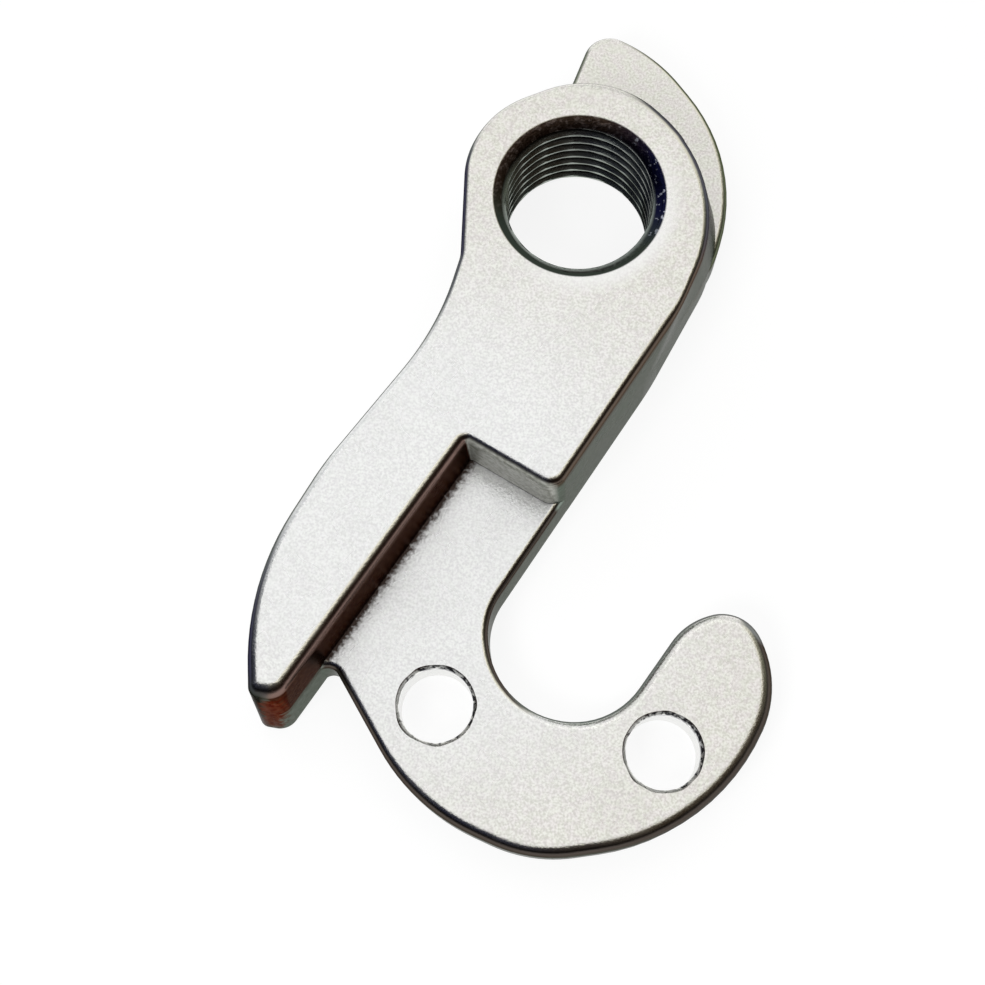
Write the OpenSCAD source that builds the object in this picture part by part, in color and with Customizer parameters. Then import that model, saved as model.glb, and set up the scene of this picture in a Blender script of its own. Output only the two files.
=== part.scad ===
// Rear derailleur hanger, one piece of aluminium.
// It is a flat plate in two thicknesses. The full thickness runs from the boss round the thread down the shank
// and out along the fin. The recessed seat beside the fin is thinner and carries the axle slot, the hook and two
// bolt holes. A thin tab for the derailleur's stop stands beside the boss.
// The origin is on the thread's axis in the back plane. +Z leaves the front and +X runs along the two bolt holes.

/* [Thicknesses] */
// Full thickness at the boss, the shank and the fin
full_t = 7.8; // [6.8:0.1:9]
// Thickness of the recessed seat
seat_t = 3.6; // [3:0.1:4.4]
// Thickness of the stop tab
tab_t = 3.5; // [2.6:0.1:4.2]
// Rounding of the edges of the boss, the shank, the fin and the tab, and of all back edges
edge_r = 0.45; // [0.3:0.05:0.55]
// Rounding of the front edges of the seat and the hook
seat_edge_r = 0.8; // [0.4:0.05:1]
// Lean of the shank's straight edge and of the fin's inner wall, both of which narrow towards the front
wall_draft = 3.2; // [0:0.1:4]

/* [Thread for the derailleur] */
// Nominal diameter of the thread
thread_d = 10; // [9:0.5:11]
// Pitch of the thread
thread_pitch = 1; // [0.75:0.25:1.25]
// How far the front countersink opens beyond the thread
thread_lead = 0.2; // [0.1:0.05:0.4]
// How much the back edge of the thread's hole is broken
thread_break = 0.4; // [0.2:0.05:0.6]
// Metal between the thread and the boss's nominal circle
boss_wall = 3.2; // [2.6:0.1:4]

/* [Frame bolts] */
// Diameter of each bolt hole
bolt_d = 4.4; // [4:0.1:5]
// Distance between the two bolt holes
bolt_gap = 13.6; // [12.8:0.1:14.4]
// Distance from the thread's axis down to the line of the bolt holes
bolt_drop = 31.5; // [30.8:0.1:32.4]
// Distance from the thread's axis across to the middle of the bolt holes
bolt_shift = 4.45; // [4.1:0.05:4.8]
// Broken edge round each bolt hole
bolt_break = 0.2; // [0.1:0.05:0.4]

/* [Shank] */
// Slope of the shank against the line of the bolt holes
shank_angle = 67.7; // [66:0.1:69]
// Distance from the thread's axis to the shank's straight edge, at the back
shank_edge = 9.42; // [9.1:0.05:9.7]
// Distance from the thread's axis to the waist's left edge
waist_edge = 2.5; // [2:0.1:3.2]
// Distance from the thread's axis down the shank to the waist
waist_drop = 11.7; // [11:0.1:12.4]
// Distance from the thread's axis down the shank to the recess
recess_drop = 16.55; // [15.8:0.05:17.4]
// How far the end wall of the recess is out of square with the shank
recess_skew = 2.8; // [0:0.1:5]

/* [Fin] */
// Distance from the thread's axis across to the root of the fin's inner wall, at the back
fin_inner = 3.33; // [2.8:0.05:3.6]
// How far the fin's inner wall turns away from the shank's direction
fin_flare = 1; // [0:0.1:2]
// Distance from the thread's axis across to the fin's outer edge
fin_outer = 3.35; // [3:0.05:3.6]
// Distance from the thread's axis down the shank to the widest part of the fin
fin_belly_drop = 22.5; // [21.5:0.1:23.5]
// Distance from the thread's axis down the shank to the start of the fin's taper
fin_taper_drop = 30.7; // [29.5:0.1:31.5]
// Distance from the thread's axis across to the start of the fin's taper
fin_taper_edge = 3.1; // [2.9:0.05:3.4]
// Distance from the thread's axis down the shank to the tip of the fin, at the back
fin_tip_drop = 36.8; // [36:0.1:37.6]
// Width of the fin's tip before it is rounded
fin_tip_w = 1.6; // [1.4:0.1:2]
// Lean of the fin's end face
fin_tip_lean = 8; // [0:1:14]

/* [Axle slot and hook] */
// Radius of the slot's round end
slot_r = 5; // [4.6:0.1:5.4]
// Metal between the line of the bolt holes and the end of the slot
slot_land = 0.6; // [0.3:0.1:1.2]
// Distance from the thread's axis down the shank to where its straight edge turns into the slot
slot_entry_drop = 24.05; // [22.5:0.05:25]
// Reach of the hook's tip above the line of the bolt holes
hook_reach = 9.6; // [8.8:0.1:10.4]
// Width of the hook at its tip
hook_w = 6.2; // [5.6:0.1:6.8]
// Metal left below the line of the bolt holes
seat_margin = 7.75; // [7:0.05:8.4]
// Rounding of the inner corner between the fin and the seat's lower rim
web_fillet = 0.75; // [0.4:0.05:1.2]

/* [Stop tab] */
// Reach of the tab's tip from the thread's axis
tab_reach = 13.7; // [13:0.1:14.6]
// Slope of the tab's tip about the thread's axis
tab_angle = 96; // [92:1:100]

/* [Roundings of the outline] */
// Straight edge to boss
flow_r = 11.5; // [9:0.5:13]
// Boss to shank, on the left
neck_r = 2.2; // [1.6:0.1:2.8]
// Waist
waist_r = 17; // [14:0.5:19]
// Widest part of the fin
belly_r = 15; // [12:0.5:17]
// Start of the fin's taper
taper_r = 16; // [13:0.5:16]
// Outer and inner corners of the fin's tip
tip_outer_r = 0.6; // [0.5:0.1:0.9]
tip_inner_r = 1.1; // [0.7:0.1:1.2]
// Inner and outer corners of the recess's end wall
recess_inner_r = 0.2; // [0.1:0.05:0.5]
recess_outer_r = 1; // [0.7:0.1:1.5]
// Lower rim, first under the left bolt hole and then in its middle
rim_left_r = 12; // [9:0.5:14]
rim_r = 9; // [7:0.5:11]
// Heel and back of the hook
heel_r = 12.7; // [11:0.1:13.5]
hook_back_r = 6.3; // [5.5:0.1:6.5]
// Right and left sides of the hook's tip
hook_right_r = 2.5; // [2:0.1:2.8]
hook_left_r = 4.1; // [3.5:0.1:4.5]
// Straight edge to slot
slot_entry_r = 4.3; // [3:0.1:5]
// Lower end, outer side and tip of the stop tab
tab_foot_r = 8; // [6:0.5:9]
tab_side_r = 5.3; // [4:0.1:6]
tab_back_r = 11.5; // [9:0.5:12]
tab_shoulder_r = 10.1; // [8:0.1:11]
tab_tip_r = 1.7; // [1.3:0.1:1.9]

/* [Hidden] */
// Straight pieces in each rounded corner of an outline, and in each rounded edge
corner_steps = 8;
edge_steps = 3;
// How far a cut runs past the face that it opens
past = 1;
// How far the seat's straight edge stands inside the shank's, so that the two faces never coincide
seam = 0.01;
// Distance from the thread's axis down the shank to where the seat's lower rim meets the fin
rim_drop = 31.25;

thread_r = thread_d / 2;
drill_r = thread_r - thread_pitch / 2;
lead_r = thread_r + thread_lead;
boss_r = thread_r + boss_wall;
bolt_r = bolt_d / 2;

// The boss's outline: each corner's angle about the thread's axis, reach beyond the nominal circle, and rounding
boss_shape = [[28.5, -0.4, 8.6], [76, 0.2, 5.3], [98, 0, 1], [144.5, -0.25, 6.2], [171, -0.75, 5.2]];
// Where the boss's left side turns into the shank, down the shank and across it
neck = [7.15, -3.9];
// Corners of the lower rim from the middle of the bolt holes, each as far right and above the rim's lowest line
rim_left = [-6.95, 1.68];
rim_middle = [0.5, 0];
rim_heel = [10.7, 3.6];
// Corners of the hook's tip, from the point that lies hook_reach right of the bolt holes' middle and above it
hook_back = [hook_w - 2.73, -4.25];
hook_right = [0.4, 0.06];
hook_left = [-2.9, -1.8];
// Corners of the slot's round end, right and left
slot_right = [0.75 * slot_r - 0.3, slot_land - 0.1];
slot_left = [0.4 - 0.75 * slot_r, slot_land + 0.15];
// Lower end of the tab, down the shank and across it: inside the boss, on the straight edge and where it leaves it
tab_root = [4.5, 5];
tab_end = [3.2, shank_edge];
tab_foot = [0.2, shank_edge - 0.26];
// Outer side of the tab: each corner's angle about the thread's axis, its reach and its rounding
tab_shape = [
    [-7.3, boss_r + 0.8, tab_side_r],
    [33, tab_reach - 2.2, tab_back_r],
    [tab_angle - 18.5, tab_reach - 0.9, tab_shoulder_r],
    [tab_angle, tab_reach, tab_tip_r]
];
// How far down the fin's inner wall the seat's outline starts, inside the fin, below the web
web_root = 3.8;
// Corner of every outline that lies hidden inside the metal
buried_r = 0.6;
// Least radius left at an outer corner once the outline is moved inwards
least_r = 0.05;

// A point given down the shank and across it, both from the thread's axis
function on_shank(down, across) =
    [across * sin(shank_angle) - down * cos(shank_angle),
     -across * cos(shank_angle) - down * sin(shank_angle)];

// A point given about the thread's axis
function on_boss(angle, reach) = reach * [cos(angle), sin(angle)];

// A point given from the middle of the bolt holes
function on_seat(right, up) = [bolt_shift + right, up - bolt_drop];

// How far across the shank its straight edge stands at height z
function straight_edge(z) = shank_edge - z * tan(wall_draft);

// How far across the shank the fin's inner wall stands at height z
function fin_wall(down, z) = fin_inner - (down - recess_drop) * tan(fin_flare) - z * tan(wall_draft);

// One corner of an outline with the radius that rounds it
function corner(at, r) = [at.x, at.y, r];

// The full thickness at height z, anticlockwise: recess, straight edge, boss, neck, waist, fin and the fin's tip
function shank_corners(z) =
    let (
        recess_out = recess_drop - (shank_edge - fin_inner) * tan(recess_skew),
        tip = fin_tip_drop - z * tan(fin_tip_lean)
    )
    [
        corner(on_shank(recess_drop, fin_wall(recess_drop, z)), recess_inner_r),
        corner(on_shank(recess_out, straight_edge(z)), recess_outer_r),
        corner(on_shank(-0.5, straight_edge(z)), flow_r),
        for (b = boss_shape) corner(on_boss(b[0], boss_r + b[1]), b[2]),
        corner(on_shank(neck.x, neck.y), neck_r),
        corner(on_shank(waist_drop, -waist_edge), waist_r),
        corner(on_shank(fin_belly_drop, -fin_outer), belly_r),
        corner(on_shank(fin_taper_drop, -fin_taper_edge), taper_r),
        corner(on_shank(tip, fin_wall(tip, z) - fin_tip_w), tip_outer_r),
        corner(on_shank(tip - 0.3, fin_wall(tip, z)), tip_inner_r)
    ];

// The seat at height z, anticlockwise: under the shank, down inside the fin, out at the fin's inner wall, along
// the lower rim, round the hook, out of the slot and up the straight edge
function seat_corners(z) =
    let (edge = straight_edge(z) - seam, rim_wall = fin_wall(rim_drop, z))
    [
        corner(on_shank(recess_drop - 3, edge - 3), buried_r),
        corner(on_shank(recess_drop - 3, fin_inner - 2), buried_r),
        corner(on_shank(rim_drop, rim_wall - 2), buried_r),
        corner(on_shank(rim_drop + web_root, rim_wall - 0.3), buried_r),
        corner(on_shank(rim_drop, rim_wall), web_fillet),
        corner(on_seat(rim_left.x, rim_left.y - seat_margin), rim_left_r),
        corner(on_seat(rim_middle.x, rim_middle.y - seat_margin), rim_r),
        corner(on_seat(rim_heel.x, rim_heel.y - seat_margin), heel_r),
        corner(on_seat(hook_reach + hook_back.x, hook_reach + hook_back.y), hook_back_r),
        corner(on_seat(hook_reach + hook_right.x, hook_reach + hook_right.y), hook_right_r),
        corner(on_seat(hook_reach + hook_left.x, hook_reach + hook_left.y), hook_left_r),
        corner(on_seat(slot_right.x, slot_right.y), slot_r - 0.2),
        corner(on_seat(slot_left.x, slot_left.y), slot_r),
        corner(on_shank(slot_entry_drop, edge), slot_entry_r),
        corner(on_shank(recess_drop - 1.5, edge), buried_r)
    ];

// The stop tab, anticlockwise, its first and last corners inside the shank
tab_corners = [
    corner(on_shank(tab_root.x, tab_root.y), buried_r),
    corner(on_shank(tab_end.x, tab_end.y), buried_r),
    corner(on_shank(tab_foot.x, tab_foot.y), tab_foot_r),
    for (t = tab_shape) corner(on_boss(t[0], t[1]), t[2]),
    corner(on_boss(107, boss_r + 0.2), buried_r),
    corner(on_boss(120, 6), buried_r)
];

function unit(v) = v / norm(v);

// Points along one rounded corner: an arc that touches both of the corner's sides, moved inwards by inset
function corner_arc(before, at, after, radius, inset) =
    let (
        side = sign(cross(at - before, after - at)),
        r = side > 0 ? max(radius, inset + least_r) : radius,
        to_before = unit(before - at),
        to_after = unit(after - at),
        half = acos(to_before * to_after) / 2,
        centre = at + unit(to_before + to_after) * r / sin(half),
        first = at + to_before * r / tan(half) - centre,
        start = atan2(first.y, first.x),
        turn = side * (180 - 2 * half)
    )
    [for (i = [0 : corner_steps])
        let (angle = start + turn * i / corner_steps)
        centre + (r - side * inset) * [cos(angle), sin(angle)]];

// An anticlockwise outline from its corners, each rounded by its own radius and all moved inwards by inset
function outline(corners, inset) =
    let (n = len(corners), xy = [for (c = corners) [c.x, c.y]])
    [for (i = [0 : n - 1])
        each corner_arc(xy[(i + n - 1) % n], xy[i], xy[(i + 1) % n], corners[i].z, inset)];

// The inset and height of each level of a plate with rounded edges, from the back face to the front face
function levels(thickness, back_r, front_r) =
    let (quarter = [for (i = [0 : edge_steps]) 90 * i / edge_steps])
    concat(
        [for (a = quarter) [back_r * (1 - sin(a)), back_r * (1 - cos(a))]],
        [for (a = quarter) [front_r * (1 - cos(a)), thickness - front_r * (1 - sin(a))]]
    );

// A solid through rings of points that all have as many points, closed by its first and last ring
module loft(rings) {
    n = len(rings[0]);
    last = len(rings) - 1;
    polyhedron(
        points = [for (ring = rings) each ring],
        faces = [
            [for (i = [0 : n - 1]) i],
            for (k = [0 : last - 1], i = [0 : n - 1])
                [k * n + i, (k + 1) * n + i, (k + 1) * n + (i + 1) % n, k * n + (i + 1) % n],
            [for (i = [n - 1 : -1 : 0]) last * n + i]
        ]
    );
}

function at_height(points, z) = [for (p = points) [p.x, p.y, z]];

// A plate's rings: its outline at every level, where corners is a list of them, one for each level
function plate_rings(corners, heights) =
    [for (k = [0 : len(heights) - 1])
        let (z = heights[k][1])
        [for (p = outline(corners[k], heights[k][0])) [p.x, p.y, z]]];

module shank() {
    heights = levels(full_t, edge_r, edge_r);
    loft(plate_rings([for (h = heights) shank_corners(h[1])], heights));
}

module seat() {
    heights = levels(seat_t, edge_r, seat_edge_r);
    loft(plate_rings([for (h = heights) seat_corners(h[1])], heights));
}

module tab() {
    heights = levels(tab_t, edge_r, edge_r);
    loft(plate_rings([for (h = heights) tab_corners], heights));
}

// The whole plate before it is drilled, trued to its full thickness
module blank() {
    resize([0, 0, full_t])
        union() {
            shank();
            seat();
            tab();
        }
}

// A hole through the plate with both of its edges broken at 45 degrees, front and back being the breaks' depths
module broken_hole(r, front_r, thickness, front, back) {
    translate([0, 0, -past])
        cylinder(r = r, h = full_t + 2 * past, $fn = 96);
    translate([0, 0, thickness - front])
        cylinder(r1 = r, r2 = front_r + (front_r - r) / front * past, h = front + past, $fn = 96);
    translate([0, 0, -past])
        cylinder(r1 = r + back + past, r2 = r, h = back + past, $fn = 96);
}

module thread_hole() {
    broken_hole(drill_r, lead_r, full_t, lead_r - drill_r, thread_break);
}

module bolt_holes() {
    for (side = [-1, 1])
        translate(on_seat(side * bolt_gap / 2, 0))
            broken_hole(bolt_r, bolt_r + bolt_break, seat_t, bolt_break, bolt_break);
}

module hanger() {
    color("silver")
        difference() {
            blank();
            thread_hole();
            bolt_holes();
        }
}

hanger();
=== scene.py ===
"""A rear derailleur hanger of satin aluminium, lying on a pale floor.

Lengths are in millimetres, unless a comment says metres, until they reach Blender, which works in metres.
The frame is the CAD's: the origin is on the thread's axis in the back plane, +Z leaves the front and +X runs
along the two bolt holes.
"""

from math import atan2, cos, pi, radians, sin, tan

import bmesh
import bpy
import numpy as np
from mathutils import Matrix, Vector, noise


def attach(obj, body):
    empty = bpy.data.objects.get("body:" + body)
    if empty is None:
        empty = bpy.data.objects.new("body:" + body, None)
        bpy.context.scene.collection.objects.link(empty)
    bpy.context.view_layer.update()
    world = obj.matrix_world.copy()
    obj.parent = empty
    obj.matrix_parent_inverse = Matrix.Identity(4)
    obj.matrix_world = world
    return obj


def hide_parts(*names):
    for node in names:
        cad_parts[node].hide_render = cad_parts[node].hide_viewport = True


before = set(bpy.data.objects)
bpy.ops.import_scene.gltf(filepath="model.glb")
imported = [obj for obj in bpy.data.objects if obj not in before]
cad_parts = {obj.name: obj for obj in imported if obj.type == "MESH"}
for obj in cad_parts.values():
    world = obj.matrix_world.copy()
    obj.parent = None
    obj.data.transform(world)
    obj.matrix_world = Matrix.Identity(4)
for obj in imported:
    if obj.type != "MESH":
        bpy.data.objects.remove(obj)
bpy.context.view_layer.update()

MM = 0.001

# Thicknesses
FULL_T = 7.8
SEAT_T = 3.6
TAB_T = 3.5
WALL_DRAFT = radians(3.2)

# Roundings of the front edges, of which EDGE_R is that of the back edges too
EDGE_R = 0.45
BOSS_EDGE_R = 0.65
FIN_EDGE_R = 0.6
RECESS_EDGE_R = 0.6
TIP_EDGE_R = 0.85
SEAT_EDGE_R = 0.45
RIM_EDGE_R = 0.7
HOOK_EDGE_R = 0.9

# Thread for the derailleur: the widths of crest and flank are shares of the pitch
THREAD_PITCH = 1.0
THREAD_DEPTH = 0.54
HALF_CREST = 0.09
FLANK = 0.31
CREST_PHASE = 0.23
DRILL_R = 4.5
LEAD_R = 5.2
LEAD_SLOPE = 1.75
THREAD_BREAK = 0.4
LIP_R = 0.12
LIP_DEPTH = 0.3
BOSS_R = 8.2

# Frame bolts
BOLT_R = 2.2
BOLT_GAP = 13.6
BOLT_DROP = 31.5
BOLT_SHIFT = 4.45
BOLT_BREAK = 0.2
BREAK_WAVE = 0.1

# Shank and fin
SHANK_ANGLE = radians(67.7)
SHANK_EDGE = 9.42
WAIST_EDGE = 2.5
WAIST_DROP = 11.7
RECESS_DROP = 16.55
RECESS_SKEW = radians(2.8)
FIN_INNER = 3.33
FIN_FLARE = radians(1)
FIN_OUTER = 3.31
FIN_BELLY_DROP = 22.5
FIN_TAPER_DROP = 30.7
FIN_TAPER_EDGE = 2.9
FIN_TIP_DROP = 36.8
FIN_TIP_W = 1.6
FIN_TIP_LEAN = radians(8)
FIN_TIP_SLANT = 0.72
RIM_DROP = 31.25

# Axle slot, hook and tab
SLOT_R = 5.0
SLOT_LAND = 0.6
SLOT_ENTRY_DROP = 24.05
HOOK_REACH = 9.6
HOOK_W = 6.2
SEAT_MARGIN = 7.75
WEB_FILLET = 0.75
TAB_REACH = 13.7
TAB_ANGLE = 96

# Where the boss's left side turns into the shank, down the shank and across it
NECK = (7.15, -3.9)

# Corners of rim, hook and slot, right of the middle of the bolt holes and above it
RIM_LEFT = (-6.95, 1.68 - SEAT_MARGIN)
RIM_MIDDLE = (0.5, -SEAT_MARGIN)
RIM_HEEL = (10.7, -4.15)
HOOK_BACK = (HOOK_REACH - 2.73 + HOOK_W, HOOK_REACH - 4.25)
HOOK_RIGHT = (HOOK_REACH + 0.4, HOOK_REACH + 0.06)
HOOK_LEFT = (HOOK_REACH - 2.9, HOOK_REACH - 1.8)
SLOT_RIGHT = (-0.3 + 0.75 * SLOT_R, SLOT_LAND - 0.1)
SLOT_LEFT = (0.4 - 0.75 * SLOT_R, SLOT_LAND + 0.15)

# Rounding of the outlines' corners that lie hidden inside the metal
BURIED_R = 0.6

# Fineness of the mesh
CORNER_STEPS = 12
EDGE_STEPS = 7
SIDE_STEP = 0.7
SEAM = 0.01
PAST = 1.0
WELD = 0.0005
SHARP_ANGLE = radians(34)
NORMAL_WEIGHT = 80
LEAST_R = 0.03

# Flat faces: pits and sparkles of the grain, near the fin and far from it, the far pits darker as painted
# shade, and two tints
NEAR_PITS = (0.80, 0.805, 0.81)
FAR_SHADED_PITS = (0.60, 0.58, 0.54)
NEAR_SPARKLES = (0.99, 1.0, 1.0)
FAR_SPARKLES = (0.97, 0.96, 0.91)
YELLOW_TINT = (0.86, 0.88, 0.76)
PINK_TINT = (0.90, 0.83, 0.83)
# Painted shade at the foot of the fin's inner wall
FOOT_SHADE = (0.075, 0.05, 0.04)
# Painted reflection on the edges of the faces that turn towards the right
RIGHT_EDGE_REFLECTION = (0.85, 0.81, 0.67)
# Painted shade near the boss's rim
BOSS_RIM_SHADE = (0.46, 0.44, 0.38)
WHITE = (1, 1, 1)

# Walls, painted darker than the flat faces as shade, with painted shade, highlights and reflections
WALL_PITS = (0.218, 0.26, 0.226)
WALL_GRAIN = (0.275, 0.317, 0.282)
# Painted shade along the top of the tab's wall
TAB_EDGE_SHADE = (0.12, 0.14, 0.08)
# Painted shade and reflection below the front edge
BROWN_EDGE_SHADE = (0.13, 0.10, 0.08)
BLUE_EDGE_SHADE = (0.05, 0.05, 0.08)
SHADED_WALL = (0.11, 0.112, 0.13)
LIT_WALL = (0.195, 0.22, 0.2)
HOOK_WALL = (0.24, 0.242, 0.24)
# Painted shade on the seat's rim wall
SEAT_RIM_SHADE = (0.09, 0.075, 0.065)
# Painted shade and reflection on the fin's inner wall, and a painted highlight at its top
FIN_PITS = (0.085, 0.05, 0.042)
FIN_GRAIN = (0.13, 0.08, 0.068)
FIN_TOP_HIGHLIGHT = (0.22, 0.145, 0.125)
# Painted reflection on the recess's end wall, and painted shade at its foot
END_PITS = (0.36, 0.37, 0.32)
END_GRAIN = (0.62, 0.63, 0.57)
END_FOOT_SHADE = (0.03, 0.03, 0.025)
BELOW_FIN = (0.05, 0.055, 0.05)
# Painted reflection on the fin's end face
RED_PITS = (0.15, 0.055, 0.04)
RED_GRAIN = (0.24, 0.10, 0.08)
WALL_SHINE_SHADE = (0.3, 0.29, 0.28)

# Bolt holes; and the thread and the lip in front of it, in painted light, shade and reflection
DARK_BURR = (0.04, 0.04, 0.05)
BRIGHT_BURR = (0.97, 0.97, 0.95)
BOLT_WALL = (0.85, 0.85, 0.83)
LEFT_GROOVE = (0.035, 0.035, 0.03)
GROOVE_PITS = (0.028, 0.034, 0.03)
GROOVE_GRAIN = (0.085, 0.095, 0.085)
LEFT_CREST = (0.42, 0.46, 0.42)
RIGHT_CREST = (0.24, 0.27, 0.25)
# Painted reflection on the lip, with painted glints
BROWN_LIP = (0.05, 0.032, 0.022)
BROWN_FLECKS = (0.13, 0.10, 0.085)
NAVY_LIP = (0.007, 0.008, 0.035)
NAVY_GLINTS = (0.4, 0.42, 0.5)
LOWER_LIP = (0.035, 0.045, 0.035)

# Where the flat faces mirror the surroundings for the camera
GLANCE = (-0.04, 0.28, 0.96)

# Half the floor's width in metres, and how far the floor lies below the back face
FLOOR_REACH = 20
FLOOR_GAP = 0.02


def on_shank(down, across):
    """A point given down the shank and across it, both from the thread's axis."""
    s, c = sin(SHANK_ANGLE), cos(SHANK_ANGLE)
    return np.array([across * s - down * c, -across * c - down * s])


def on_boss(angle, reach):
    """A point given about the thread's axis."""
    return reach * np.array([cos(radians(angle)), sin(radians(angle))])


def on_seat(right, up):
    """A point given from the middle of the bolt holes."""
    return np.array([BOLT_SHIFT + right, up - BOLT_DROP])


def bolt_place(side):
    """The axis of the left bolt hole, for side -1, or of the right one, for side 1."""
    return on_seat(side * BOLT_GAP / 2, 0)


def straight_edge(z):
    """How far across the shank its straight edge stands at height z."""
    return SHANK_EDGE - z * tan(WALL_DRAFT)


def fin_wall(down, z):
    """How far across the shank the fin's inner wall stands at height z."""
    return FIN_INNER - (down - RECESS_DROP) * tan(FIN_FLARE) - z * tan(WALL_DRAFT)


def boss_corners(z):
    """The boss at height z, from the straight edge on. Its right side leans outwards down to the tab."""
    spread = (FULL_T - max(z, TAB_T)) / (FULL_T - TAB_T)

    def lean(at_front, change):
        return at_front + change * spread

    return [
        (on_shank(lean(2.4, 3.4), straight_edge(z)), lean(13, 9), EDGE_R),
        (on_boss(lean(9.3, -4.8), lean(BOSS_R + 0.73, 0.63)), lean(9.4, -2.3), EDGE_R),
        (on_boss(lean(50.5, -5.2), lean(BOSS_R - 0.74, 0.95)), 7, BOSS_EDGE_R),
        (on_boss(88.9, lean(BOSS_R + 0.8, -0.16)), 6.35, BOSS_EDGE_R),
        (on_boss(144.5, BOSS_R - 0.25), 6.2, EDGE_R),
        (on_boss(171, BOSS_R - 0.75), 5.2, EDGE_R),
    ]


def shank_corners(z):
    """The full thickness at height z, anticlockwise: each corner, its radius and its edge's rounding."""
    recess_out = RECESS_DROP - (SHANK_EDGE - FIN_INNER) * tan(RECESS_SKEW)
    tip = FIN_TIP_DROP - z * tan(FIN_TIP_LEAN)
    return [
        (on_shank(RECESS_DROP, fin_wall(RECESS_DROP, z)), 0.2, RECESS_EDGE_R),
        (on_shank(recess_out, straight_edge(z)), 1.1, RECESS_EDGE_R),
        *boss_corners(z),
        (on_shank(*NECK), 2.2, EDGE_R),
        (on_shank(WAIST_DROP, -WAIST_EDGE), 17, EDGE_R),
        (on_shank(FIN_BELLY_DROP, -FIN_OUTER), 15, FIN_EDGE_R),
        (on_shank(FIN_TAPER_DROP, -FIN_TAPER_EDGE), 16, FIN_EDGE_R),
        (on_shank(tip, fin_wall(tip, z) - FIN_TIP_W), 0.6, TIP_EDGE_R),
        (on_shank(tip - FIN_TIP_SLANT, fin_wall(tip, z)), 1.2, TIP_EDGE_R),
    ]


def seat_corners(z):
    """The seat at height z, anticlockwise: under the shank, inside the fin, along rim, hook and slot."""
    edge = straight_edge(z) - SEAM
    rim_wall = fin_wall(RIM_DROP, z)
    return [
        (on_shank(RECESS_DROP - 3, edge - 3), BURIED_R, SEAT_EDGE_R),
        (on_shank(RECESS_DROP - 3, FIN_INNER - 2), BURIED_R, SEAT_EDGE_R),
        (on_shank(RIM_DROP, rim_wall - 2), BURIED_R, SEAT_EDGE_R),
        (on_shank(RIM_DROP + 3.8, rim_wall - 0.3), BURIED_R, SEAT_EDGE_R),
        (on_shank(RIM_DROP, rim_wall), WEB_FILLET, SEAT_EDGE_R),
        (on_seat(*RIM_LEFT), 12, RIM_EDGE_R),
        (on_seat(*RIM_MIDDLE), 9, RIM_EDGE_R),
        (on_seat(*RIM_HEEL), 12.7, HOOK_EDGE_R),
        (on_seat(*HOOK_BACK), 6.3, HOOK_EDGE_R),
        (on_seat(*HOOK_RIGHT), 2.5, RIM_EDGE_R),
        (on_seat(*HOOK_LEFT), 4.1, RIM_EDGE_R),
        (on_seat(*SLOT_RIGHT), SLOT_R - 0.2, RIM_EDGE_R),
        (on_seat(*SLOT_LEFT), SLOT_R, SEAT_EDGE_R),
        (on_shank(SLOT_ENTRY_DROP, edge), 4.3, SEAT_EDGE_R),
        (on_shank(RECESS_DROP - 1.5, edge), BURIED_R, SEAT_EDGE_R),
    ]


def tab_corners(z):
    """The stop tab, the same at every height z, anticlockwise. Its first and last corners are hidden."""
    return [
        (on_shank(4.5, 5), BURIED_R, EDGE_R),
        (on_boss(-32, BOSS_R + 0.1), 2, EDGE_R),
        (on_boss(-7.3, BOSS_R + 0.8), 5.3, EDGE_R),
        (on_boss(33, TAB_REACH - 2.2), 11.5, EDGE_R),
        (on_boss(TAB_ANGLE - 18.5, TAB_REACH - 0.9), 10.1, EDGE_R),
        (on_boss(TAB_ANGLE, TAB_REACH), 1.7, EDGE_R),
        (on_boss(115, 6.6), BURIED_R, EDGE_R),
        (on_boss(125, 5.5), BURIED_R, EDGE_R),
    ]


def unit(v):
    return v / np.linalg.norm(v)


def corner_arc(before, at, after, radius, insets):
    """Points along one rounded corner: an arc that touches both sides, each point moved in by its inset."""
    to_before, to_after = unit(before - at), unit(after - at)
    half = np.arccos(np.clip(to_before @ to_after, -1, 1)) / 2
    come, go = at - before, after - at
    side = 1 if come[0] * go[1] - come[1] * go[0] > 0 else -1
    if side > 0:
        radius = max(radius, insets.max() + LEAST_R)
    centre = at + unit(to_before + to_after) * radius / sin(half)
    first = at + to_before * radius / tan(half) - centre
    angles = atan2(first[1], first[0]) + side * (pi - 2 * half) * np.linspace(0, 1, CORNER_STEPS + 1)
    return centre + (radius - side * insets)[:, None] * np.stack([np.cos(angles), np.sin(angles)], 1)


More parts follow.
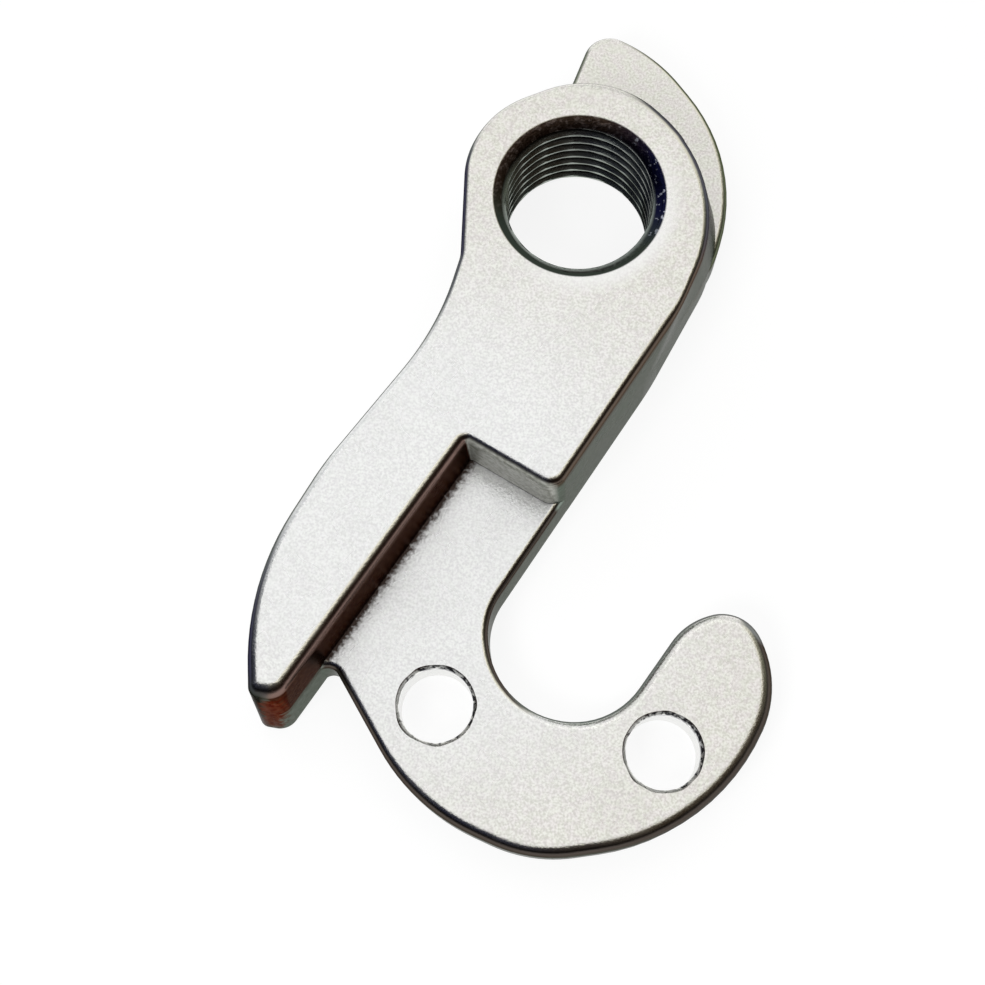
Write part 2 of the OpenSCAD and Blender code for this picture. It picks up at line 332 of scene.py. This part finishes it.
def plate_rings(corners, thickness, between=()):
    """The rings of points of a plate from its back face to its front face, each with as many points."""
    base = corners(0)
    count = len(base)
    sides = []
    for i in range(count):
        length = np.linalg.norm(base[(i + 1) % count][0] - base[i][0])
        sides.append(max(1, round(length / SIDE_STEP)))
    quarter = [pi / 2 * k / EDGE_STEPS for k in range(EDGE_STEPS + 1)]
    along = np.linspace(-1, 1, CORNER_STEPS + 1)
    rings = []
    levels = [("back", a) for a in quarter]
    levels += [("between", z) for z in between]
    levels += [("front", a) for a in quarter]
    for part, a in levels:
        arcs = []
        for i in range(count):
            own, last, following = base[i][2], base[i - 1][2], base[(i + 1) % count][2]
            if part == "back":
                insets = np.full(len(along), EDGE_R * (1 - sin(a)))
                z = np.full(len(along), EDGE_R * (1 - cos(a)))
            elif part == "between":
                insets, z = np.zeros(len(along)), np.full(len(along), a)
            else:
                r = own + (last - own) / 2 * np.clip(-along, 0, 1)
                r = r + (following - own) / 2 * np.clip(along, 0, 1)
                insets, z = r * (1 - cos(a)), thickness - r * (1 - sin(a))
            here = corners(z.mean())
            before, at, after = here[i - 1][0], here[i][0], here[(i + 1) % count][0]
            flat = corner_arc(before, at, after, here[i][1], insets)
            arcs.append(np.column_stack([flat, z]))
        ring = []
        for i in range(count):
            ring.extend(arcs[i])
            start, end = arcs[i][-1], arcs[(i + 1) % count][0]
            ring.extend(start + (end - start) * k / sides[i] for k in range(1, sides[i]))
        rings.append(np.array(ring))
    return rings


def solid(name, rings):
    """A closed object through rings of points, its first and last ring filled."""
    count = len(rings[0])
    faces = [tuple(range(count - 1, -1, -1))]
    for k in range(len(rings) - 1):
        for i in range(count):
            j = (i + 1) % count
            faces.append((k * count + i, k * count + j, (k + 1) * count + j, (k + 1) * count + i))
    top = (len(rings) - 1) * count
    faces.append(tuple(range(top, top + count)))
    mesh = bpy.data.meshes.new(name)
    mesh.from_pydata([tuple(p * MM) for ring in rings for p in ring], [], faces)
    mesh.update()
    made = bpy.data.objects.new(name, mesh)
    bpy.context.scene.collection.objects.link(made)
    return made


def turned(name, centre, heights, radius, around=144):
    """A closed cutter on a vertical axis whose radius depends on the angle and the height."""
    angles = np.linspace(0, 2 * pi, around, endpoint=False)
    rings = []
    for z in heights:
        r = np.array([radius(a, z) for a in angles])
        x = centre[0] + r * np.cos(angles)
        y = centre[1] + r * np.sin(angles)
        rings.append(np.column_stack([x, y, np.full(around, z)]))
    return solid(name, rings)


def combine(target, other, operation):
    """Applies a boolean to target and removes the other object."""
    cut = target.modifiers.new("combine", "BOOLEAN")
    cut.operation = operation
    cut.solver = "MANIFOLD"
    cut.object = other
    bpy.context.view_layer.update()
    evaluated = target.evaluated_get(bpy.context.evaluated_depsgraph_get())
    result = bpy.data.meshes.new_from_object(evaluated)
    target.modifiers.clear()
    target.data = result
    bpy.data.objects.remove(other)


def thread_radius(angle, z):
    """The thread's cutter at an angle and a height: thread, front countersink and broken back edge."""
    turn = (z / THREAD_PITCH - CREST_PHASE - angle / (2 * pi)) % 1
    from_crest = abs(turn - round(turn))
    groove = min(max((from_crest - HALF_CREST) / FLANK, 0), 1) * THREAD_DEPTH
    depth = FULL_T - z
    countersink = LEAD_R - LEAD_SLOPE * depth + LIP_R * max(0, 1 - depth / LIP_DEPTH) ** 2
    back = DRILL_R + THREAD_BREAK - z
    return max(DRILL_R + groove, countersink, back)


def thread_cutter():
    """The thread's cutter, with fine levels in the thread and the finest ones round the lip."""
    lip_start, lip_end = FULL_T - 0.8, FULL_T + 0.2
    fine_step, finest_step = THREAD_PITCH / 16, 0.03
    thread_levels = np.arange(-PAST, lip_start, fine_step)
    lip_levels = np.arange(lip_start, lip_end, finest_step)
    return turned("thread", (0, 0), np.concatenate([thread_levels, lip_levels]), thread_radius)


def bolt_radius(seed):
    """The cutter of a bolt hole, whose two broken edges are a little uneven."""
    def radius(angle, z):
        wave = noise.noise(Vector((cos(angle) * BOLT_R, sin(angle) * BOLT_R, seed)))
        broken = BOLT_BREAK + BREAK_WAVE * wave
        return BOLT_R + max(0, z - SEAT_T + broken, broken - z)
    return radius


def bolt_cutter(side):
    """A bolt hole's cutter, with levels only at its two broken edges."""
    level_count = 9
    back_levels = np.linspace(-0.1, 0.5, level_count)
    front_levels = np.linspace(SEAT_T - 0.5, SEAT_T + 0.1, level_count)
    heights = np.concatenate([[-PAST], back_levels, front_levels, [SEAT_T + PAST]])
    return turned("bolt", bolt_place(side), heights, bolt_radius(side + 3), around=96)


def build_hanger():
    """The plate in its three thicknesses, then the holes, welded and with soft and sharp edges set."""
    lean_levels = (TAB_T, TAB_T + 0.3)
    hanger = solid("hanger_metal", plate_rings(shank_corners, FULL_T, lean_levels))
    combine(hanger, solid("seat", plate_rings(seat_corners, SEAT_T)), "UNION")
    combine(hanger, solid("tab", plate_rings(tab_corners, TAB_T)), "UNION")
    combine(hanger, thread_cutter(), "DIFFERENCE")
    for side in (-1, 1):
        combine(hanger, bolt_cutter(side), "DIFFERENCE")
    shape = bmesh.new()
    shape.from_mesh(hanger.data)
    bmesh.ops.remove_doubles(shape, verts=shape.verts, dist=WELD * MM)
    shape.to_mesh(hanger.data)
    shape.free()
    hanger.data.shade_smooth()
    hanger.data.set_sharp_from_angle(angle=SHARP_ANGLE)
    weighted = hanger.modifiers.new("normals", "WEIGHTED_NORMAL")
    weighted.keep_sharp = True
    weighted.weight = NORMAL_WEIGHT
    return hanger


class Shading:
    """Short calls for the nodes of one material."""

    def __init__(self, material):
        material.use_nodes = True
        self.material = material
        self.tree = material.node_tree
        self.shader = self.tree.nodes["Principled BSDF"]
        where = self.tree.nodes.new("ShaderNodeTexCoord")
        self.place = where.outputs["Object"]
        self.normal = where.outputs["Normal"]

    def link(self, value, socket):
        if hasattr(value, "is_linked"):
            self.tree.links.new(value, socket)
        elif isinstance(value, tuple):
            socket.default_value = (*value, 1) if len(socket.default_value) == 4 else value
        else:
            socket.default_value = value

    def spots(self, size, detail=2.0):
        """Noise whose spots are about size millimetres across."""
        node = self.tree.nodes.new("ShaderNodeTexNoise")
        node.inputs["Scale"].default_value = 1 / (size * MM)
        node.inputs["Detail"].default_value = detail
        node.inputs["Roughness"].default_value = 0.5
        self.link(self.place, node.inputs["Vector"])
        return node.outputs["Fac"]

    def remap(self, value, low, high, to_low=0.0, to_high=1.0, smooth=False):
        node = self.tree.nodes.new("ShaderNodeMapRange")
        if smooth:
            node.interpolation_type = "SMOOTHSTEP"
        node.inputs["From Min"].default_value = low
        node.inputs["From Max"].default_value = high
        node.inputs["To Min"].default_value = to_low
        node.inputs["To Max"].default_value = to_high
        self.link(value, node.inputs["Value"])
        return node.outputs["Result"]

    def math(self, operation, first, second=0.0):
        node = self.tree.nodes.new("ShaderNodeMath")
        node.operation = operation
        self.link(first, node.inputs[0])
        self.link(second, node.inputs[1])
        return node.outputs["Value"]

    def add(self, first, second):
        return self.math("ADD", first, second)

    def times(self, product, *others):
        for other in others:
            product = self.math("MULTIPLY", product, other)
        return product

    def along(self, vector, direction):
        node = self.tree.nodes.new("ShaderNodeVectorMath")
        node.operation = "DOT_PRODUCT"
        self.link(vector, node.inputs[0])
        node.inputs[1].default_value = direction
        return node.outputs["Value"]

    def measure(self, x, y, z):
        """Millimetres from the origin along a direction."""
        return self.along(self.place, (x / MM, y / MM, z / MM))

    def facing(self, x, y, z):
        """How much the surface faces a direction."""
        return self.along(self.normal, (x, y, z))

    def reach(self, centre):
        """Millimetres from a vertical axis."""
        away = self.tree.nodes.new("ShaderNodeVectorMath")
        away.operation = "SUBTRACT"
        self.link(self.place, away.inputs[0])
        away.inputs[1].default_value = (centre[0] * MM, centre[1] * MM, 0)
        flat = self.tree.nodes.new("ShaderNodeVectorMath")
        flat.operation = "MULTIPLY"
        self.link(away.outputs["Vector"], flat.inputs[0])
        flat.inputs[1].default_value = (1 / MM, 1 / MM, 0)
        length = self.tree.nodes.new("ShaderNodeVectorMath")
        length.operation = "LENGTH"
        self.link(flat.outputs["Vector"], length.inputs[0])
        return length.outputs["Value"]

    def mix(self, factor, first, second):
        node = self.tree.nodes.new("ShaderNodeMix")
        node.data_type = "RGBA"
        self.link(factor, node.inputs["Factor"])
        self.link(first, node.inputs["A"])
        self.link(second, node.inputs["B"])
        return node.outputs["Result"]


class HangerShading(Shading):
    """The measures, grains and zones of the hanger that its colours depend on."""

    def __init__(self, material):
        super().__init__(material)
        s, c = sin(SHANK_ANGLE), cos(SHANK_ANGLE)
        self.right = self.measure(1, 0, 0)
        self.up = self.measure(0, 1, 0)
        self.height = self.measure(0, 0, 1)
        self.across = self.measure(s, -c, 0)
        self.down = self.measure(-c, -s, 0)
        self.from_axis = self.reach((0, 0))

        self.grain = self.spots(0.14)
        self.pebbles = self.spots(0.3)
        self.tint = self.spots(0.6, detail=3.0)
        self.mottling = self.remap(self.pebbles, 0.35, 0.65)

        self.upright = self.math("ABSOLUTE", self.facing(0, 0, 1))
        self.lit = self.remap(self.facing(-0.45, 0.89, 0), 0.3, 0.6)
        # Roundings that face the key light take the bright face colour a little sooner: painted light.
        self.flat = self.remap(self.add(self.upright, self.times(self.lit, 0.25)), 0.8, 0.95, smooth=True)
        self.above_seat = self.remap(self.height, SEAT_T - 0.15, SEAT_T - 0.05)
        self.beyond_end = self.remap(self.down, RECESS_DROP - 0.5, RECESS_DROP - 0.2)
        self.in_recess = self.times(self.above_seat, self.beyond_end)
        facing_end = self.remap(self.facing(-c, -s, 0), 0.5, 0.8)
        near_end = self.remap(self.down, RECESS_DROP + 1, RECESS_DROP + 0.7)
        self.end_side = self.times(self.above_seat, facing_end, near_end)
        self.fin_side = self.times(self.in_recess, self.remap(self.facing(s, -c, 0), 0.35, 0.6))
        bolts = self.math("MINIMUM", self.reach(bolt_place(-1)), self.reach(bolt_place(1)))
        self.in_bolts = self.remap(bolts, BOLT_R + 0.2, BOLT_R + 0.1)


def fin_foot_shade(made):
    """Painted shade: the ragged dark line on the seat at the foot of the fin's inner wall."""
    flare = (FIN_TIP_DROP - RECESS_DROP) * tan(FIN_FLARE)
    foot = made.add(made.across, made.remap(made.down, RECESS_DROP, FIN_TIP_DROP, 0, flare))
    foot = made.add(foot, SEAT_T * tan(WALL_DRAFT) - FIN_INNER)
    ragged = made.add(foot, made.remap(made.pebbles, 0.3, 0.7, -0.22, 0.22))
    on_seat_face = made.remap(made.height, SEAT_T + 0.15, SEAT_T + 0.05)
    return made.times(made.in_recess, made.remap(ragged, 0.5, 0.1), on_seat_face)


def face_colour(made):
    """Flat faces: sparkling grain, cool near the fin and warmer away from it, darker away from it as painted
    shade, with painted shade at the fin wall's foot and the boss's rim, tinted edges as painted reflection
    and a painted highlight round the bore.
    """
    from_fin = made.reach((-6, -22))
    # Painted shade: the faces grow darker away from the fin, where the mirrored light falls off, and their
    # grain grows stronger.
    far = made.remap(from_fin, 8, 24, smooth=True)
    pits = made.mix(far, NEAR_PITS, FAR_SHADED_PITS)
    sparkles = made.mix(far, NEAR_SPARKLES, FAR_SPARKLES)
    face = made.mix(made.remap(made.grain, 0.35, 0.65), pits, sparkles)
    warm = made.mix(made.remap(made.tint, 0.42, 0.58), YELLOW_TINT, PINK_TINT)
    face = made.mix(made.remap(from_fin, 8, 24, 0.1, 0.35, smooth=True), face, warm)
    face = made.mix(fin_foot_shade(made), face, FOOT_SHADE)

    # Painted reflection: a yellowish fringe where a face begins to round off towards the right.
    towards_right = made.remap(made.facing(0.98, -0.2, 0), 0.03, 0.2)
    right_edge_reflection = made.times(made.remap(made.upright, 0.999, 0.97), towards_right)
    face = made.mix(right_edge_reflection, face, RIGHT_EDGE_REFLECTION)
    # Painted shade: a greyer band on the boss's face along the top of its rim.
    rim_shade = made.remap(made.from_axis, BOSS_R - 1.4, BOSS_R - 0.3)
    in_front = made.remap(made.height, FULL_T - 1, FULL_T - 0.8)
    ring_top = made.remap(made.measure(0.45, 0.89, 0), 5.2, 7.2)
    face = made.mix(made.times(rim_shade, in_front, ring_top, 0.6), face, BOSS_RIM_SHADE)
    # Painted highlight: a white band on the face round the bore's lower right.
    lip_highlight = made.remap(made.from_axis, LEAD_R + 1.5, LEAD_R + 0.1, smooth=True)
    lower_right = made.remap(made.measure(0.77, -0.64, 0), 0, 5)
    return made.mix(made.times(lip_highlight, lower_right, 0.7), face, WHITE)


def tip_red_reflection(made):
    """A painted reflection: a red patch on the fin's end face, with ragged borders."""
    wobble = made.remap(made.tint, 0.35, 0.65, -0.35, 0.35)
    height = made.add(made.height, wobble)
    across = made.add(made.across, made.times(wobble, 0.6))
    return made.times(
        made.remap(made.down, FIN_TIP_DROP - 2.2, FIN_TIP_DROP - 1.8),
        made.remap(made.height, 0.2, 1.2),
        made.remap(height, FULL_T - 1.0, FULL_T - 1.7),
        made.remap(made.facing(0.2, -0.98, 0), 0.5, 0.75),
        made.remap(across, FIN_INNER - 0.5, FIN_INNER - 0.9),
        made.remap(across, FIN_INNER - 1.9, FIN_INNER - 1.5),
    )


def recess_walls(made, wall):
    """Painted light in the recess: the fin's inner wall brown as painted shade and reflection, with a
    painted highlight line at its top, and the end wall pale as a painted reflection of the seat, with
    painted shade at its foot.
    """
    # Painted shade and reflection: the fin's inner wall dark brown, with a painted highlight line at its
    # top.
    brown = made.mix(made.mottling, FIN_PITS, FIN_GRAIN)
    brown = made.mix(made.remap(made.height, FULL_T - 0.8, FULL_T - 0.66), brown, FIN_TOP_HIGHLIGHT)
    wall = made.mix(made.fin_side, wall, brown)
    # Painted reflection: the recess's end wall pale, as it mirrors the seat, with painted shade at its foot.
    end_wall = made.mix(made.mottling, END_PITS, END_GRAIN)
    end_wall = made.mix(made.remap(made.height, SEAT_T + 0.3, SEAT_T + 0.1), end_wall, END_FOOT_SHADE)
    return made.mix(made.end_side, wall, end_wall)


def wall_colour(made):
    """Walls: green-grey and darker than the flat faces as painted shade, with painted shade below the front
    edge, paler on the hook, painted shade and reflections in the recess and at the tip.
    """
    # The walls' grain, in a green-grey painted darker than the faces as shade.
    wall = made.mix(made.mottling, WALL_PITS, WALL_GRAIN)
    # Painted shade: a dark olive band along the top of the tab's wall beside the boss.
    outside_boss = made.remap(made.from_axis, BOSS_R + 0.2, BOSS_R + 0.5)
    beside_boss = made.times(outside_boss, made.remap(made.up, -5, -3))
    tab_top = made.remap(made.height, TAB_T - 1.0, TAB_T - 0.4)
    below_tab_face = made.remap(made.height, TAB_T + 0.1, TAB_T - 0.05)
    wall = made.mix(made.times(beside_boss, tab_top, below_tab_face), wall, TAB_EDGE_SHADE)

    # Painted shade and reflection: a dark band on the walls just below the front edge, blue where a wall
    # faces up or left, brown elsewhere.
    facing_up = made.remap(made.facing(0, 1, 0), -0.15, 0.2)
    facing_left = made.remap(made.facing(-1, 0, 0), -0.2, 0.3)
    front_edge_shade = made.mix(made.math("MAXIMUM", facing_up, facing_left), BROWN_EDGE_SHADE, BLUE_EDGE_SHADE)
    wall = made.mix(made.remap(made.height, FULL_T - 1.2, FULL_T - 0.4), wall, front_edge_shade)
    shaded = made.times(facing_up, made.remap(made.height, FULL_T - 3.5, FULL_T - 1.5))
    wall = made.mix(shaded, wall, SHADED_WALL)
    wall = made.mix(made.lit, wall, LIT_WALL)
    wall = made.mix(made.remap(made.right, 8, 14, 0, 0.8), wall, HOOK_WALL)

    # Painted shade: dark brown on the seat's rim wall beside the fin, where it faces away from the key
    # light.
    beside_fin = made.times(made.beyond_end, made.remap(made.across, FIN_INNER - 0.6, FIN_INNER - 0.3))
    rim_top = made.remap(made.height, SEAT_T - 0.8, SEAT_T - 0.4)
    seat_rim_shade = made.times(beside_fin, rim_top, made.math("SUBTRACT", 1.0, made.lit))
    wall = made.mix(seat_rim_shade, wall, SEAT_RIM_SHADE)
    wall = recess_walls(made, wall)

    near_tip = made.remap(made.down, FIN_TIP_DROP - 2.2, FIN_TIP_DROP - 1.2)
    below_fin = made.times(near_tip, made.remap(made.across, FIN_INNER - 1.3, FIN_INNER - 1.8))
    wall = made.mix(below_fin, wall, BELOW_FIN)
    return made.mix(tip_red_reflection(made), wall, made.mix(made.mottling, RED_PITS, RED_GRAIN))


def bolt_colour(made):
    """Bolt holes: a pale wall, and dark and bright burrs at the front edge."""
    burrs = made.add(made.pebbles, made.facing(0.1, 0.1, 0))
    burred = made.mix(made.remap(burrs, 0.38, 0.52), DARK_BURR, BRIGHT_BURR)
    return made.mix(made.remap(made.height, SEAT_T - 0.8, SEAT_T - 0.5), BOLT_WALL, burred)


def thread_light_and_shade(made):
    """Thread: pale crests as painted light and dark grooves as painted shade, lighter on the left. Its lip
    is a painted reflection, brown on the left, navy with painted glints on the right, dark below.
    """
    # Painted light and shade: pale crests and dark grooves, lighter on the left.
    to_right = made.remap(made.right, 0.5, 4)
    to_top = made.remap(made.up, -2.5, 0)
    right_groove = made.mix(made.remap(made.pebbles, 0.45, 0.6), GROOVE_PITS, GROOVE_GRAIN)
    groove = made.mix(to_right, LEFT_GROOVE, right_groove)
    crest = made.mix(to_right, LEFT_CREST, RIGHT_CREST)
    thread = made.mix(made.remap(made.from_axis, DRILL_R + 0.04, DRILL_R + 0.28), crest, groove)
    # Painted reflection on the lip: brown on the left, navy with painted glints on the right, dark below.
    left_lip = made.mix(made.remap(made.pebbles, 0.5, 0.62), BROWN_LIP, BROWN_FLECKS)
    right_lip = made.mix(made.remap(made.pebbles, 0.62, 0.68), NAVY_LIP, NAVY_GLINTS)
    lip = made.mix(to_top, LOWER_LIP, made.mix(to_right, left_lip, right_lip))
    return made.mix(made.remap(made.height, FULL_T - 0.45, FULL_T - 0.35), thread, lip)


def aluminium():
    """Blasted aluminium: bright grain on the flat faces, walls painted darker as shade, and painted light,
    shade and reflections in the recess, at the tip and in the thread.
    """
    made = HangerShading(bpy.data.materials.new("satin_aluminium"))
    surface = made.mix(made.flat, wall_colour(made), face_colour(made))
    surface = made.mix(made.in_bolts, surface, bolt_colour(made))
    in_thread = made.remap(made.from_axis, LEAD_R + 0.12, LEAD_R + 0.02)
    surface = made.mix(in_thread, surface, thread_light_and_shade(made))
    made.link(surface, made.shader.inputs["Base Color"])

    # The walls get a dark specular tint: painted shade on their reflections.
    bright = made.math("MAXIMUM", made.flat, made.in_bolts)
    made.link(made.mix(bright, WALL_SHINE_SHADE, WHITE), made.shader.inputs["Specular Tint"])
    flat_metallic = made.remap(made.upright, 0.965, 0.995, 1.0, 0.6)
    end_metallic = made.remap(made.end_side, 0, 1, 1, 0.3)
    made.link(made.times(flat_metallic, end_metallic), made.shader.inputs["Metallic"])
    cloud = made.spots(3.0, detail=3.0)
    made.link(made.remap(cloud, 0.3, 0.7, 0.22, 0.3), made.shader.inputs["Roughness"])

    bump = made.tree.nodes.new("ShaderNodeBump")
    bump.inputs["Distance"].default_value = 0.012 * MM
    made.link(made.remap(made.flat, 0, 1, 0.35, 1.0), bump.inputs["Strength"])
    made.link(made.add(made.grain, made.times(made.pebbles, 0.8)), bump.inputs["Height"])
    made.link(bump.outputs["Normal"], made.shader.inputs["Normal"])
    return made.material


def floor_white():
    """The floor glows, so that it stays pale in the shadows and through the holes."""
    material = bpy.data.materials.new("floor_white")
    material.use_nodes = True
    shader = material.node_tree.nodes["Principled BSDF"]
    shader.inputs["Base Color"].default_value = (0.22, 0.22, 0.22, 1)
    shader.inputs["Roughness"].default_value = 0.8
    shader.inputs["Specular IOR Level"].default_value = 0.0
    shader.inputs["Emission Color"].default_value = (1, 1, 1, 1)
    shader.inputs["Emission Strength"].default_value = 0.86
    return material


def softbox(name, place, target, size, power):
    """A square light, hidden from glossy rays, as its mirror image would leave white spots in the thread."""
    light = bpy.data.lights.new(name, "AREA")
    light.shape = "SQUARE"
    light.size = size * MM
    light.energy = power
    made = bpy.data.objects.new(name, light)
    made.location = Vector(place) * MM
    made.visible_glossy = False
    made.rotation_euler = (Vector(target) * MM - made.location).to_track_quat("-Z", "Y").to_euler()
    bpy.context.scene.collection.objects.link(made)


def surroundings():
    """The studio as a sky: pale where the flat faces mirror it, at one side and low down, else dark."""
    world = bpy.data.worlds.new("studio")
    bpy.context.scene.world = world
    world.use_nodes = True
    tree = world.node_tree
    where = tree.nodes.new("ShaderNodeTexCoord").outputs["Generated"]

    def across(direction):
        node = tree.nodes.new("ShaderNodeVectorMath")
        node.operation = "DOT_PRODUCT"
        node.inputs[1].default_value = direction
        tree.links.new(where, node.inputs[0])
        return node.outputs["Value"]

    def blend(value, low, high, first, second):
        fade = tree.nodes.new("ShaderNodeMapRange")
        fade.interpolation_type = "SMOOTHSTEP"
        fade.inputs["From Min"].default_value = low
        fade.inputs["From Max"].default_value = high
        tree.links.new(value, fade.inputs["Value"])
        mix = tree.nodes.new("ShaderNodeMix")
        mix.data_type = "RGBA"
        tree.links.new(fade.outputs["Result"], mix.inputs["Factor"])
        for socket, colour in (("A", first), ("B", second)):
            if isinstance(colour, tuple):
                mix.inputs[socket].default_value = (*colour, 1)
            else:
                tree.links.new(colour, mix.inputs[socket])
        return mix.outputs["Result"]

    sides = blend(across((0.98, 0.2, 0)), -0.4, 0.5, (0.01, 0.012, 0.028), (0.035, 0.024, 0.016))
    sides = blend(across((0.6, 0.8, 0)), 0.5, 0.95, sides, (0.16, 0.17, 0.13))
    walls = blend(across((-0.3, 0.95, 0)), 0.3, 0.6, sides, (0.85, 0.86, 0.86))
    low = blend(across((0, 0, 1)), 0.0, 0.25, (0.7, 0.71, 0.7), walls)
    sky = blend(across(GLANCE), 0.72, 0.9, low, (1.08, 1.08, 1.07))
    tree.links.new(sky, tree.nodes["Background"].inputs["Color"])


def build_camera():
    """The photograph's camera, fitted to five rims of the three holes."""
    data = bpy.data.cameras.new("camera")
    data.sensor_width = 36
    data.lens = 62.06
    data.clip_start = 1 * MM
    camera = bpy.data.objects.new("camera", data)
    tilt, swing, turn = -0.242, 0.013, radians(-11.607)
    axis = Vector((tilt, swing, 0))
    to_view = Matrix.Rotation(axis.length, 3, axis.normalized()) @ Matrix.Diagonal((1, -1, -1))
    to_view = to_view @ Matrix.Rotation(turn, 3, "Z")
    offset = Vector((5.392, -16.166, 110.441))
    place = -(to_view.transposed() @ offset) * MM
    basis = to_view.transposed() @ Matrix.Diagonal((1, -1, -1))
    camera.matrix_world = Matrix.Translation(place) @ basis.to_4x4()
    bpy.context.scene.collection.objects.link(camera)
    bpy.context.scene.camera = camera


def build_floor():
    mesh = bpy.data.meshes.new("floor")
    signs = ((-1, -1), (1, -1), (1, 1), (-1, 1))
    mesh.from_pydata([(x * FLOOR_REACH, y * FLOOR_REACH, 0) for x, y in signs], [], [(0, 1, 2, 3)])
    floor = bpy.data.objects.new("floor", mesh)
    floor.location.z = -FLOOR_GAP * MM
    mesh.materials.append(floor_white())
    bpy.context.scene.collection.objects.link(floor)


hanger = build_hanger()
hanger.data.materials.clear()
hanger.data.materials.append(aluminium())
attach(hanger, "root")
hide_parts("hanger")

build_floor()
surroundings()
softbox("key_light", place=(-60, -130, 170), target=(-3, -18, 4), size=80, power=0.13)
build_camera()

bpy.context.scene.view_settings.view_transform = "Standard"
